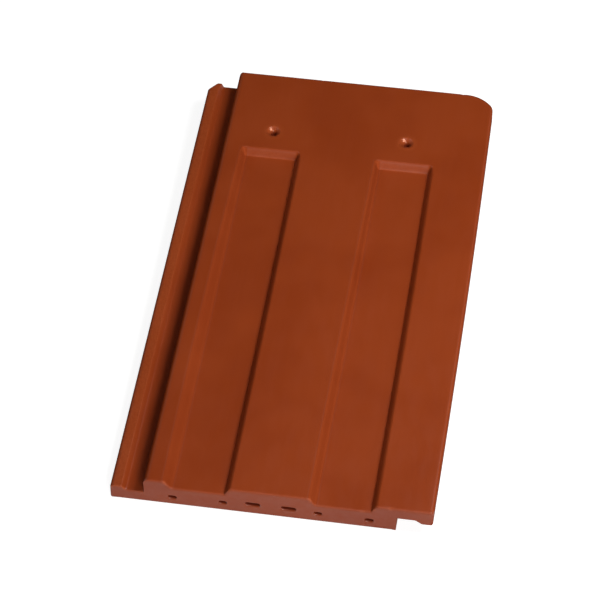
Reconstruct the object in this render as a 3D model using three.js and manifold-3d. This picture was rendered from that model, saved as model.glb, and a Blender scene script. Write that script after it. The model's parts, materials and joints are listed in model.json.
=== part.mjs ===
// Clay roof tile, extruded, with a lock down each long side.
//
// The tile is one fired piece. It is drawn lying flat, with X across the roof, Y up the slope from
// the foot to the head and Z out of the roof, and then tipped into the way it lies on a level floor.
// Its section is a thick body with six cores, a thin ledge with a rib along the left side and a flap
// with a lip along the right side. The next tile's flap covers this tile's ledge, so both come from
// the same values. Two channels are pressed into the top, and two nibs hang below the head.

import * as THREE from 'three';
import { mergeVertices } from 'three/addons/utils/BufferGeometryUtils.js';
import Module from 'manifold-3d';

const wasm = await Module();
wasm.setup();

// ---- Sizes in millimetres ----

// Tile
const tileLength = 425;
const coverWidth = 215; // from one tile to the next, across the roof
const bodyThickness = 26;
const edgeRadius = 1.2; // round the top of the foot and the head
const sideEdgeRadius = 2.5; // round the top of both long sides
const headCornerRadius = 28; // right corner of the head, where it leaves the head
const sideCornerRadius = 9; // and where it meets the long side
const headCornerTurn = THREE.MathUtils.degToRad(48); // from the head to where the two radii meet
const bodyCornerRadius = 2.8; // left corner of the head, beside the ledge
const otherCornerRadius = edgeRadius + 0.6; // the other corners, seen from above

// Ledge, on the left side
const ledgeWidth = 26;
const ledgeThickness = 10.8;
const ledgeSetback = 4.6; // the ledge stops short of the head
const ribWidth = 9;
const ribHeight = 3.8; // above the ledge
const ribFlankRun = 3.4; // slope from the rib's top down to the ledge
const ribFlankRadius = 2.5; // where the flank meets the ledge
const ribShoulderRadius = 3.6;
const ribDraft = 0.4; // lean of the rib's outer side
const ledgeCornerAcross = 6.5; // cut off the ledge's corner at the head
const ledgeCornerAlong = 7;

// Flap, on the right side
const lipWidth = 8;
const lipRampWidth = 5;

// Play between one tile's flap and the next tile's ledge
const lockPlay = 0.3; // above the rib and below the lip
const jointWidth = 1; // beside the lip, the joint that shows on the roof
const ledgePlay = 2; // beside the ledge, inside the lock

// Channels, each with a ramp on its left, a steep wall on its right and a sloped end at the head
const channelDepth = 7;
const channelSetback = 84; // from the head
const firstRampInset = 15.2; // from the ledge's wall to the first ramp, at the foot
const rampWidthAtFoot = 5.8;
const rampWidthAtHead = 5;
const rampSplay = 1.2; // how far the ramp's top edge leans left from the head to the foot
const channelFloorWidth = 39.4; // at the foot
const channelWallRun = 4.5;
const channelEndRun = 3.7;
const channelEdgeRadius = 2.4;
const channelCornerRadius = 1.5;

// Nail dimples, blind, one above each channel
const dimpleOffset = 55; // either side of the middle of the tile
const dimpleSetback = 63; // from the head
const dimpleRadius = 5.6;
const dimpleTipRadius = 1.4;
const dimpleDepth = 4.5;

// Cores, in pairs either side of the middle of the tile
const innerCore = { offset: 13.3, width: 12, height: 5, level: 10.3 };
const middleCore = { offset: 35.4, width: 6.4, height: 4.4, level: 8.7 };
const outerCore = { offset: 73.1, width: 7, height: 4.8, level: 7.8 };

// Nibs, which hook over the batten
const nibWidth = 32;
const nibDepth = 18;
const nibHeight = 13;
const nibSetback = 12; // from the head
const nibDraft = 2;
const nibTipRadius = 2;
const nibRootRadius = 3;
const nibSideRadius = 1.5;

// How far a cutting solid runs past the surface it cuts
const overrun = 5;
// How far a nib reaches into the body, at its middle and at the ends of its fillets
const nibEmbed = 3;
const filletEmbed = 0.2;

// ---- Places worked out from the sizes ----

const channelPitch = coverWidth / 2; // so that channels stay evenly spaced from tile to tile
const tileWidth = coverWidth + ledgeWidth - jointWidth;
const ribTop = ledgeThickness + ribHeight;
const flapCeiling = ribTop + lockPlay;
const lipBottom = ledgeThickness + lockPlay;
const rebateWall = coverWidth - ledgePlay;
const channelFloor = bodyThickness - channelDepth;
const channelEnd = tileLength - channelSetback;
const firstRampTop = ledgeWidth + firstRampInset;
const channelSpan = rampWidthAtFoot + channelFloorWidth + channelWallRun;
const firstChannelMiddle = firstRampTop + channelSpan / 2;
const channelMiddles = [firstChannelMiddle, firstChannelMiddle + channelPitch];
const tileMiddle = tileWidth / 2;
const ledgeEnd = tileLength - ledgeSetback;
// The two arcs of the head's right corner share a tangent where they meet. These are the places
// where that tangent crosses the head and the long side.
const headReach = headCornerRadius * Math.tan(headCornerTurn / 2);
const sideReach = sideCornerRadius * Math.tan((Math.PI / 2 - headCornerTurn) / 2);
const headCornerAcross = tileWidth - (headReach + sideReach) * Math.cos(headCornerTurn);
const sideCornerAlong = tileLength - (headReach + sideReach) * Math.sin(headCornerTurn);

// ---- Helpers ----

// The closed outline through corners given as [across, up, radius].
function roundedOutline(corners) {
  const outline = new THREE.Shape();
  corners.forEach(([across, up, radius], i) => {
    const corner = new THREE.Vector2(across, up);
    const [beforeAcross, beforeUp] = corners.at(i - 1);
    const [afterAcross, afterUp] = corners[(i + 1) % corners.length];
    const toBefore = new THREE.Vector2(beforeAcross, beforeUp).sub(corner).normalize();
    const toAfter = new THREE.Vector2(afterAcross, afterUp).sub(corner).normalize();
    if (radius === 0) {
      if (i === 0) outline.moveTo(corner.x, corner.y);
      else outline.lineTo(corner.x, corner.y);
      return;
    }
    const halfAngle = Math.acos(toBefore.dot(toAfter)) / 2;
    const reach = radius / Math.tan(halfAngle);
    const bisector = toBefore.clone().add(toAfter).normalize();
    const centre = corner.clone().addScaledVector(bisector, radius / Math.sin(halfAngle));
    const start = corner.clone().addScaledVector(toBefore, reach).sub(centre);
    const end = corner.clone().addScaledVector(toAfter, reach).sub(centre);
    const clockwise = toBefore.cross(toAfter) > 0;
    outline.absarc(centre.x, centre.y, radius, start.angle(), end.angle(), clockwise);
  });
  outline.closePath();
  return outline;
}

// A manifold solid from a closed three.js geometry.
function solid(geometry) {
  const plain = geometry.index ? geometry.toNonIndexed() : geometry.clone();
  plain.deleteAttribute('normal');
  plain.deleteAttribute('uv');
  const merged = mergeVertices(plain, 1e-4);
  return new wasm.Manifold(
    new wasm.Mesh({
      numProp: 3,
      vertProperties: Float32Array.from(merged.attributes.position.array),
      triVerts: Uint32Array.from(merged.index.array),
    }),
  );
}

// A three.js geometry from a manifold solid.
function geometryOf(manifold) {
  const mesh = manifold.getMesh();
  const geometry = new THREE.BufferGeometry();
  geometry.setAttribute('position', new THREE.BufferAttribute(mesh.vertProperties, 3));
  geometry.setIndex(new THREE.BufferAttribute(mesh.triVerts, 1));
  geometry.computeVertexNormals();
  return geometry;
}

// An outline in X and Z, extruded along Y from start to start + length.
function extrudeAlongSlope(outline, start, length) {
  const geometry = new THREE.ExtrudeGeometry(outline, {
    depth: length,
    bevelEnabled: false,
    curveSegments: 3,
  });
  geometry.rotateX(Math.PI / 2);
  geometry.translate(0, start + length, 0);
  return solid(geometry);
}

// A solid through level outlines, from the lowest to the highest. They all have the same number of
// points and run anticlockwise as seen from above.
function stackOutlines(outlines) {
  const count = outlines[0].length;
  const positions = outlines.flat().flatMap((point) => point.toArray());
  const index = [];
  for (let start = 0; start < (outlines.length - 1) * count; start += count) {
    for (let i = 0; i < count; i++) {
      const next = (i + 1) % count;
      index.push(start + i, start + next, start + count + next);
      index.push(start + i, start + count + next, start + count + i);
    }
  }
  const top = (outlines.length - 1) * count;
  const flat = (outline) => outline.map((point) => new THREE.Vector2(point.x, point.y));
  for (const [a, b, c] of THREE.ShapeUtils.triangulateShape(flat(outlines[0]), [])) {
    index.push(a, c, b);
  }
  for (const [a, b, c] of THREE.ShapeUtils.triangulateShape(flat(outlines.at(-1)), [])) {
    index.push(top + a, top + b, top + c);
  }
  const geometry = new THREE.BufferGeometry();
  geometry.setAttribute('position', new THREE.Float32BufferAttribute(positions, 3));
  geometry.setIndex(index);
  return solid(geometry);
}

// ---- Section ----

// The outside of the section, anticlockwise from the underside of the ledge.
function sectionOutline() {
  return roundedOutline([
    [0, 0, 0.8],
    [rebateWall, 0, 0.8],
    [rebateWall, flapCeiling, 1.5],
    [tileWidth - lipWidth - lipRampWidth, flapCeiling, 3],
    [tileWidth - lipWidth, lipBottom, 1.5],
    [tileWidth, lipBottom, 1],
    [tileWidth, bodyThickness, sideEdgeRadius],
    [ledgeWidth, bodyThickness, sideEdgeRadius],
    [ledgeWidth, ledgeThickness, 1],
    [ribWidth + ribFlankRun, ledgeThickness, ribFlankRadius],
    [ribWidth, ribTop, 1],
    [ribDraft, ribTop, ribShoulderRadius],
  ]);
}

// A core's slot, with round ends.
function coreOutline(middle, core) {
  const radius = core.height / 2;
  const left = middle - core.width / 2 + radius;
  const right = middle + core.width / 2 - radius;
  const slot = new THREE.Path();
  slot.absarc(right, core.level, radius, -Math.PI / 2, Math.PI / 2, false);
  slot.absarc(left, core.level, radius, Math.PI / 2, (3 * Math.PI) / 2, false);
  slot.closePath();
  return slot;
}

function section() {
  const outline = sectionOutline();
  for (const core of [innerCore, middleCore, outerCore]) {
    outline.holes.push(coreOutline(tileMiddle - core.offset, core));
    outline.holes.push(coreOutline(tileMiddle + core.offset, core));
  }
  return extrudeAlongSlope(outline, -overrun, tileLength + 2 * overrun);
}

// ---- Plan ----

// The tile's shape from above, as a block with a rounded top edge that trims the section.
function planBlock() {
  const outline = roundedOutline([
    [0, 0, otherCornerRadius],
    [tileWidth, 0, otherCornerRadius],
    [tileWidth, sideCornerAlong, sideCornerRadius],
    [headCornerAcross, tileLength, headCornerRadius],
    [ledgeWidth, tileLength, bodyCornerRadius],
    [ledgeWidth, ledgeEnd, 0],
    [ledgeCornerAcross, ledgeEnd, otherCornerRadius],
    [0, ledgeEnd - ledgeCornerAlong, otherCornerRadius],
  ]);
  const geometry = new THREE.ExtrudeGeometry(outline, {
    depth: overrun + bodyThickness - edgeRadius,
    curveSegments: 5,
    bevelThickness: edgeRadius,
    bevelSize: edgeRadius,
    bevelOffset: -edgeRadius,
    bevelSegments: 3,
  });
  geometry.translate(0, 0, -overrun);
  return solid(geometry);
}

// ---- Channels ----

// The slope from a channel's floor up to its edge, as points of run and level. It is hollow where it
// leaves the floor, rounded at the edge, and flares just above the surface.
function pressedSlope() {
  const flare = 3;
  const rise = 0.1;
  const above = bodyThickness + overrun;
  const outline = roundedOutline([
    [-flare, above, 0],
    [-flare, channelFloor, 0],
    [0, channelFloor, channelCornerRadius],
    [channelWallRun, bodyThickness, channelEdgeRadius],
    [channelWallRun + flare, bodyThickness + rise, 0],
    [channelWallRun + flare, above, 0],
  ]);
  return outline.getPoints(3).slice(2, -1);
}

// One channel's outline from above, at a share of the way from the floor's edge to the top edge. Its
// corners at the head are tight at the floor and widen upwards, like quarters of a cone.
function channelOutline(middle, share, level) {
  const rampTop = middle - channelSpan / 2;
  const wallTop = middle + channelSpan / 2;
  const pastFoot = (rampSplay * overrun) / channelEnd;
  const rampAtFoot = rampTop - pastFoot + rampWidthAtFoot * (1 - share);
  const rampAtHead = rampTop + rampSplay + rampWidthAtHead * (1 - share);
  const wall = wallTop - channelWallRun * (1 - share);
  const end = channelEnd - channelEndRun * (1 - share);
  const spread = Math.max(share, 0.1);
  const steps = 5;
  const angles = Array.from({ length: steps + 1 }, (_, i) => (i / steps) * (Math.PI / 2));
  const cornerPoint = (side, run, angle) => [
    side - spread * run * (1 - Math.cos(angle)),
    end - spread * channelEndRun * (1 - Math.sin(angle)),
  ];
  const plan = [
    [rampAtFoot, -overrun],
    [wall, -overrun],
    ...angles.map((angle) => cornerPoint(wall, channelWallRun, angle)),
    ...angles.toReversed().map((angle) => cornerPoint(rampAtHead, -rampWidthAtHead, angle)),
  ];
  return plan.map(([across, along]) => new THREE.Vector3(across, along, level));
}

function channel(middle) {
  const slope = pressedSlope();
  return stackOutlines(slope.map(({ x, y }) => channelOutline(middle, x / channelWallRun, y)));
}

// ---- Nail dimples ----

function dimple(middle) {
  const flank = (dimpleRadius - dimpleTipRadius) / dimpleDepth;
  const profile = [
    new THREE.Vector2(0, -dimpleDepth - dimpleTipRadius / 2),
    new THREE.Vector2(dimpleTipRadius * 0.7, -dimpleDepth - dimpleTipRadius / 4),
    new THREE.Vector2(dimpleTipRadius, -dimpleDepth),
    new THREE.Vector2(dimpleRadius, 0),
    new THREE.Vector2(dimpleRadius + flank * overrun, overrun),
    new THREE.Vector2(0, overrun),
  ];
  const geometry = new THREE.LatheGeometry(profile, 24);
  geometry.rotateX(Math.PI / 2);
  geometry.translate(middle, tileLength - dimpleSetback, bodyThickness);
  return solid(geometry);
}

// ---- Nibs ----

const nibHeadFace = tileLength - nibSetback;
const nibFootFace = nibHeadFace - nibDepth;

// A nib's outline along the slope, with fillets where it leaves the underside.
function nib(middle) {
  const spread = 4;
  const outline = roundedOutline([
    [nibFootFace - spread, filletEmbed, 0],
    [nibFootFace, filletEmbed, nibRootRadius],
    [nibFootFace + nibDraft / 2, -nibHeight, nibTipRadius],
    [nibHeadFace - nibDraft, -nibHeight, nibTipRadius],
    [nibHeadFace, filletEmbed, nibRootRadius],
    [nibHeadFace + spread, filletEmbed, 0],
    [nibHeadFace + spread, nibEmbed, 0],
    [nibFootFace - spread, nibEmbed, 0],
  ]);
  const geometry = new THREE.ExtrudeGeometry(outline, {
    depth: nibWidth - 2 * nibSideRadius,
    curveSegments: 3,
    bevelThickness: nibSideRadius,
    bevelSize: nibSideRadius / 2,
    bevelOffset: -nibSideRadius / 2,
    bevelSegments: 2,
  });
  geometry.rotateX(Math.PI / 2);
  geometry.rotateZ(Math.PI / 2);
  geometry.translate(middle - nibWidth / 2 + nibSideRadius, 0, 0);
  return solid(geometry);
}

// ---- Tile ----

function tileSolid() {
  let body = section().intersect(planBlock());
  for (const middle of channelMiddles) {
    body = body.subtract(channel(middle)).add(nib(middle));
  }
  for (const middle of [tileMiddle - dimpleOffset, tileMiddle + dimpleOffset]) {
    body = body.subtract(dimple(middle));
  }
  return body;
}

const firedClay = new THREE.MeshStandardMaterial({
  name: 'engobed_clay',
  color: '#8c3a1b',
  roughness: 0.5,
  metalness: 0,
});

const tile = new THREE.Mesh(geometryOf(tileSolid()), firedClay);
tile.name = 'roof_tile';

// On a level floor the tile rests on the lower edge of its foot and on the rounded tips of its nibs,
// so it tips until one flat surface touches both.
const tipCentreAlong = nibFootFace + nibDraft / 2 + nibTipRadius;
const tipCentreBelow = nibHeight - nibTipRadius;
const tipDistance = Math.hypot(tipCentreAlong, tipCentreBelow);
tile.rotation.x = Math.atan2(tipCentreBelow, tipCentreAlong) + Math.asin(nibTipRadius / tipDistance);

// The origin is on the floor, under the middle of the tile.
const roofTile = new THREE.Group();
roofTile.add(tile);
roofTile.updateMatrixWorld(true);
const extent = new THREE.Box3().setFromObject(tile, true);
const middle = extent.getCenter(new THREE.Vector3());
tile.position.set(-middle.x, -middle.y, -extent.min.z);

export default roofTile;
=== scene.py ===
# %% [markdown]
# # A clay roof tile
#
# This notebook dresses one part, a flat clay roof tile. A real one is a ribbon of clay pushed
# through a steel die, cut to length with a wire, pressed while soft, sprayed with a red-brown
# engobe and fired at about a thousand degrees.
#
# The CAD model is a fixed frame: it settles where everything is and how big it is. Blender adds
# what drying, firing and handling add, and a mesh fine enough to carry it. We load the frame first.

import bmesh
import bpy
import json
import math
import numpy as np
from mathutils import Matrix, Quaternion, Vector
from mathutils.geometry import delaunay_2d_cdt

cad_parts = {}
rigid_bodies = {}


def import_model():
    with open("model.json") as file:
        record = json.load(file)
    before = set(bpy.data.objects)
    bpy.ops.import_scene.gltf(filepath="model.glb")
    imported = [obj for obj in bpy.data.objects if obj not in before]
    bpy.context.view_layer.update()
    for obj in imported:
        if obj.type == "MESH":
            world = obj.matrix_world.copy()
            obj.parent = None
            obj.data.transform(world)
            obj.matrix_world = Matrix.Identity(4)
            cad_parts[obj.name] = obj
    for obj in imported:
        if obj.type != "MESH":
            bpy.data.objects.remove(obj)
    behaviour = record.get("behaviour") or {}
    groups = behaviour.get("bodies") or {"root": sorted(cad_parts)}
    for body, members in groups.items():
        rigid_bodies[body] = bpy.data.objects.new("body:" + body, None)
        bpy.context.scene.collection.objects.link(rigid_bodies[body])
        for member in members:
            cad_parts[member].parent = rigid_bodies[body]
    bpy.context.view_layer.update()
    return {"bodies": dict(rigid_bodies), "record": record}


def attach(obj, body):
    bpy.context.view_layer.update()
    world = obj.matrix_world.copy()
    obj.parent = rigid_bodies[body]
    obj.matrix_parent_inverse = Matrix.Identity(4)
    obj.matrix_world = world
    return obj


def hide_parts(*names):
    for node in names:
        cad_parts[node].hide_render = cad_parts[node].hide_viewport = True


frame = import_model()

# %% [markdown]
# ## The camera
#
# A long lens from well back keeps the tile's long sides nearly parallel, as a catalogue picture
# does. The camera is set by its compass angle, its height above the horizon and a slight roll, and
# by the point it aims at. Starting from angles is easier to read and to change than starting from
# a rotation.

# %% Camera
camera_azimuth, camera_elevation, camera_roll = 9.178, 47.916, -0.604  # degrees
camera_aim = Vector((-9.55, -10.6, 13.0))  # mm
camera_distance, camera_lens, camera_sensor = 2002.73, 154.05, 36  # mm


def from_tile(azimuth, elevation):
    """The way from the tile to a camera or lamp, with azimuth counted round from its foot."""
    around, up = math.radians(azimuth), math.radians(elevation)
    return Vector((math.sin(around) * math.cos(up), -math.cos(around) * math.cos(up), math.sin(up)))


to_camera = from_tile(camera_azimuth, camera_elevation)
lens = bpy.data.cameras.new("camera")
lens.sensor_width, lens.lens = camera_sensor, camera_lens
lens.clip_start, lens.clip_end = 0.01, 30
camera = bpy.data.objects.new("camera", lens)
camera.rotation_mode = "QUATERNION"
camera.rotation_quaternion = (-to_camera).to_track_quat("-Z", "Y") @ Quaternion(
    (0, 0, 1), math.radians(camera_roll)
)
camera.location = (camera_aim + to_camera * camera_distance) / 1000
bpy.context.scene.collection.objects.link(camera)
bpy.context.scene.camera = camera
bpy.context.scene.view_settings.view_transform = "Standard"
print("camera at", [round(v, 3) for v in camera.location], "m")

# %% [markdown]
# ## The tile's own sizes
#
# The mesh is drawn in the tile's own flat frame, in millimetres: x across from the ledge, y up the
# slope from the foot, z up from the underside. These are the CAD part's own sizes, apart from the
# radii that a comment calls softer.

# %% Sizes
length, width, thickness = 425.0, 240.0, 26.0
ledge_width, ledge_thickness, ledge_end = 26.0, 10.8, 420.4
rib_width, rib_top, rib_flank, rib_lean = 9.0, 14.6, 3.4, 0.4
rebate_wall, flap_ceiling = 213.0, 14.9
lip_start, lip_width, lip_bottom = 227.0, 8.0, 11.1
side_radius = 2.5  # of the body's top edge, along the right side
end_radius = 1.5  # of the same edge along the cut ends, softer than in CAD
ledge_side_radius = 4.5  # of the same edge above the ledge, softer than in CAD
under_radius = 0.8  # of the two lower edges along the body
head_radius, side_corner_radius, head_turn = 28.0, 9.0, math.radians(48)  # right corner of head
body_corner_radius, foot_corner_radius = 2.8, 1.8
print("tile in mm:", length, "x", width, "x", thickness)

# %% [markdown]
# ## Points where they are needed
#
# The tile will be one ring of points, swept from foot to head. A cube pushed about by hand would
# never hold these soft bends, and a subdivision surface would round the tight ones, so we place the
# points ourselves. Every corner of the section becomes an arc, and every edge between two arcs gets
# as many points as its own job needs.
#
# `graded` makes those sets. It walks from one end to the other with small steps near the spots that
# need them and long steps elsewhere, so the mesh spends its faces where the eye goes.

# %% Section helpers
step_growth = 0.3  # how much longer a step may be for each millimetre away from a spot
arc_step = math.radians(11)  # the most that an arc turns from one point to the next


def graded(start, stop, spots, coarse):
    """Places from start to stop, close together inside each spot (from, to, step)."""
    x = np.linspace(start, stop, 6000)
    step = np.full_like(x, coarse)
    for low, high, fine in spots:
        away = np.maximum(np.maximum(low - x, x - high), 0)
        step = np.minimum(step, fine + step_growth * away)
    run = abs(x[1] - x[0]) * 2 / (step[1:] + step[:-1])
    count = np.concatenate([[0], np.cumsum(run)])
    return np.interp(np.linspace(0, count[-1], math.ceil(count[-1]) + 1), count, x)


def corner_arc(before, corner, after, radius):
    """Points of the arc that rounds one corner."""
    before, corner, after = (np.array(p, float) for p in (before, corner, after))
    a = (before - corner) / np.linalg.norm(before - corner)
    b = (after - corner) / np.linalg.norm(after - corner)
    half = math.acos(np.clip(a @ b, -1, 1)) / 2
    centre = corner + (a + b) / np.linalg.norm(a + b) * radius / math.sin(half)
    start = corner + a * radius / math.tan(half) - centre
    stop = corner + b * radius / math.tan(half) - centre
    first = math.atan2(start[1], start[0])
    turn = (math.atan2(stop[1], stop[0]) - first + math.pi) % (2 * math.pi) - math.pi
    angles = first + turn * np.linspace(0, 1, max(3, math.ceil(abs(turn) / arc_step)) + 1)
    return centre + radius * np.stack([np.cos(angles), np.sin(angles)], 1)


print("points on a quarter round:", len(corner_arc((0, 9), (0, 0), (9, 0), 1)))

# %% [markdown]
# ## The channels
#
# Two channels are pressed into the soft top. Each has a ramp on its left, a steep wall on its right
# and a short slope at its head, and it runs out through the foot. A real press leaves no sharp
# edge, so the surface is made of planes that blend into each other: `blend_max` rounds an inner
# corner and `blend_min` an outer one, over a band that widens with k. Where a side slope meets the
# head slope, their heights add like the two sides of a right triangle. That makes a quarter of a
# cone, so the corner is tight at the floor and wide at the top.
#
# The floors lie where the CAD part has them. Its slopes are straight and a little wider, and here
# they get the bends that soft clay gives them. The ramps aren't quite straight: each one's top edge
# and width are given at the foot, half way and at the head, and `three_point` draws a smooth curve
# through the three.

# %% Channels
channel_depth, channel_end, channel_end_run = 7.0, 340.3, 3.1
ramp_tops = ((41.5, 40.4, 42.2), (149.4, 149.8, 151.8))  # at the foot, half way, at the head end
ramp_runs = ((4.9, 5.2, 2.8), (3.6, 3.4, 2.2))  # how wide each ramp is at the same places
wall_tops = (89.5, 197.7)
wall_run = 3.1
ramp_hollow, wall_hollow, end_hollow = 2.0, 1.4, 1.2  # bends where a slope leaves the floor
ramp_brow, wall_brow, end_brow = 2.4, 5.0, 2.6  # bends where it reaches the top
wall_brow_from, wall_brow_to = 9, 3  # left of the wall's top, where the brow widens to its own
end_brow_from, end_brow_to, end_brow_growth = 8, 3, 0.3  # before the channel's end
channel_floor = thickness - channel_depth


def fade(value, start, stop):
    """Zero at start, one at stop and an even rise between them; start may be the larger of the two."""
    return np.clip((value - start) / (stop - start), 0, 1)


def blend_max(a, b, k):
    return np.maximum(a, b) + np.maximum(k - np.abs(a - b), 0) ** 2 / (4 * k)


def blend_min(a, b, k):
    return np.minimum(a, b) - np.maximum(k - np.abs(a - b), 0) ** 2 / (4 * k)


def above_floor(plane, k):
    """Height of a sloping plane above the channel's floor, hollow where it leaves the floor."""
    return blend_max(plane - channel_floor, 0.0, k)


def three_point(values, along):
    """A smooth curve through its values at the foot, half way and at the channel's head end."""
    foot, middle, head = values
    return foot + along * (4 * middle - 3 * foot - head) + 2 * along**2 * (foot - 2 * middle + head)


def with_channels(x, y):
    """Height of the flat top with the two channels pressed into it."""
    z = np.full(np.shape(x), thickness)
    along = fade(y, 0, channel_end)
    for tops, runs, wall_top in zip(ramp_tops, ramp_runs, wall_tops):
        down = (x - three_point(tops, along)) / three_point(runs, along)
        ramp = thickness - channel_depth * down
        wall = thickness - channel_depth * (wall_top - x) / wall_run
        end = thickness - channel_depth * (channel_end - y) / channel_end_run
        side = np.maximum(above_floor(ramp, ramp_hollow), above_floor(wall, wall_hollow))
        to_wall = fade(x, wall_top - wall_brow_from, wall_top - wall_brow_to)
        brow = ramp_brow + (wall_brow - ramp_brow) * to_wall
        near_end = end_brow + end_brow_growth * np.maximum(channel_end - end_brow_to - y, 0)
        brow = np.where(y > channel_end - end_brow_from, np.minimum(brow, near_end), brow)
        z = blend_min(z, channel_floor + np.hypot(side, above_floor(end, end_hollow)), brow)
    return z


print("channel floor in mm:", round(float(with_channels(np.array(70.0), np.array(150.0))), 2))

# %% [markdown]
# ## The nail dimples
#
# Between the channels and the head lie two shallow dishes, each with a narrow blind hole in its
# middle. A slater may knock a nail through the thin clay that is left below it. The dish is a bowl
# that leaves the top without an edge, and the hole has a soft mouth, so both are formulas of the
# distance from a point and need no boolean cut. The CAD part has a plain cone in each place.

# %% Dimples
dimples = ((64.5, 360.5, 6.2), (173.8, 362.7, 6.2))  # across, along, radius
dish_depth, hole_depth = 2.9, 5.0
hole_radius, hole_slope = 3.1, 1.8  # of its mouth, and how far in from there its wall reaches
hole_offset = (0.4, -0.1)  # from the middle of its dish


def with_dimples(x, y, z):
    """The height z with the two dimples pressed into it."""
    for across, along, radius in dimples:
        share = np.clip(np.hypot(x - across, y - along) / radius, 0, 1)
        z = z - dish_depth * (1 - share**2) ** 1.5
        away = np.hypot(x - across - hole_offset[0], y - along - hole_offset[1])
        inside = fade(away, hole_radius, hole_radius - hole_slope)
        z = z - hole_depth * inside**2 * (3 - 2 * inside)
    return z


hole_middle = np.array(dimples[0][:2]) + hole_offset
print("nail hole's depth in mm:", round(float(thickness - with_dimples(*hole_middle, thickness)), 2))

# %% [markdown]
# ## Uneven clay
#
# Clay shrinks by a twentieth or more as it dries and fires, and never quite evenly. A few long
# sine waves that don't repeat together give that unevenness. They are quick, and the same on each
# run without a seed.

# %% Height of the top
top_waves, ledge_waves = 0.16, 0.1  # mm
waves = (  # strength, mm across and along for each radian that it turns, start
    (1, 31, 97, 0.4),
    (1, 17, -61, 2.1),
    (0.6, 9.5, 140, 1.2),
    (0.6, 71, 23, 5.0),
)
wave_reach = sum(wave[0] for wave in waves)


def slow_waves(x, y):
    """The gentle unevenness of dried and fired clay, between 0 and 1."""
    total = sum(
        strength * np.sin(x / across + y / along + start) for strength, across, along, start in waves
    )
    return (total + wave_reach) / (2 * wave_reach)


def top_height(x, y):
    """Height of the top surface of the body, before its outer edges are rounded."""
    return with_dimples(x, y, with_channels(x, y)) - top_waves * slow_waves(x, y)


print("channel floor after drying, in mm:", round(float(top_height(np.array(70.0), np.array(150.0))), 2))

# %% [markdown]
# ## The section
#
# The die gives the tile its section: a thick body, a thin ledge with a rib on the left, a flap with
# a lip on the right. A list of corners, each with its radius, says it all.
#
# Each point of the ring carries a mark for what it belongs to, because the top, the ledge, the
# underside and the flap's lower face are each shaped in their own way later on. Plain edges get few
# points, the top many where the channels are, and the underside an exact set where the nibs grow.

# %% Ring of the section
PLAIN, UNDER, FLAP, TOP, LEDGE = range(5)
section = [  # across, high, radius, mark of the corner's arc, mark of the edge after it
    (0, 0, under_radius, PLAIN, UNDER),
    (rebate_wall, 0, under_radius, PLAIN, PLAIN),
    (rebate_wall, flap_ceiling, 1.5, FLAP, FLAP),
    (lip_start, flap_ceiling, 3, FLAP, FLAP),
    (width - lip_width, lip_bottom, 1.5, FLAP, FLAP),
    (width, lip_bottom, 1, FLAP, PLAIN),
    (width, thickness, side_radius, TOP, TOP),
    (ledge_width, thickness, ledge_side_radius, TOP, PLAIN),
    (ledge_width, ledge_thickness, 1, LEDGE, LEDGE),
    (rib_width + rib_flank, ledge_thickness, 2.5, LEDGE, LEDGE),
    (rib_width, rib_top, 1, LEDGE, LEDGE),
    (rib_lean, rib_top, 3.6, LEDGE, PLAIN),
]
plain_step, top_step = 2.2, 2.6  # mm from point to point where nothing happens

nib_middles = (66.05, 173.55)  # across
nib_middle_along, nib_reach_across, nib_reach_along, nib_steps = 404.0, 22.0, 15.0, 15

spots = [(min(t) - 1.4, max(t) + max(r) + 1.4, 0.55) for t, r in zip(ramp_tops, ramp_runs)]
spots += [(t - wall_run - 1.2, t + 2.6, 0.45) for t in wall_tops]
spots += [(across - radius, across + radius, 0.62) for across, along, radius in dimples]
top_columns = graded(width - side_radius, ledge_width + ledge_side_radius, spots, top_step)

nib_columns = [m + nib_reach_across * np.linspace(-1, 1, 2 * nib_steps + 1) for m in nib_middles]
under_columns = np.concatenate(
    [
        np.linspace(under_radius, ledge_width, 6),
        np.linspace(ledge_width, nib_columns[0][0], 5)[1:-1],
        nib_columns[0],
        np.linspace(nib_columns[0][-1], nib_columns[1][0], 13)[1:-1],
        nib_columns[1],
        np.linspace(nib_columns[1][-1], rebate_wall - under_radius, 5)[1:],
    ]
)

ring_points, ring_marks = [], []
for i, (across, high, radius, arc_mark, edge_mark) in enumerate(section):
    after, second = section[(i + 1) % len(section)], section[(i + 2) % len(section)]
    arc = corner_arc(section[i - 1][:2], (across, high), after[:2], radius)
    start, stop = arc[-1], corner_arc((across, high), after[:2], second[:2], after[2])[0]
    if edge_mark == UNDER:
        edge = np.stack([under_columns[1:-1], np.zeros(len(under_columns) - 2)], 1)
    elif edge_mark == TOP:
        edge = np.stack([top_columns[1:-1], np.full(len(top_columns) - 2, thickness)], 1)
    else:
        parts = max(1, round(np.linalg.norm(stop - start) / plain_step))
        edge = start + (stop - start) * (np.arange(1, parts) / parts)[:, None]
    ring_points += [arc, edge]
    ring_marks += [arc_mark] * len(arc) + [edge_mark] * len(edge)
ring = np.concatenate(ring_points)
marks = np.array(ring_marks)
print("points round the section:", len(ring), "- of them on top:", int((marks == TOP).sum()))

# %% [markdown]
# ## From above
#
# Seen from above the tile isn't a plain rectangle: the right corner of the head is cut round in two
# arcs, a wide one from the head and a tight one into the side. The other corners are slightly round,
# and the ledge stops short of the head with its outer corner cut off. Trimming the mesh there would
# leave ragged triangles. Instead `in_plan` bends the grid: near a corner it squeezes a rectangular
# patch of the grid into a quarter disc, so that the columns keep running along the edge.

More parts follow.
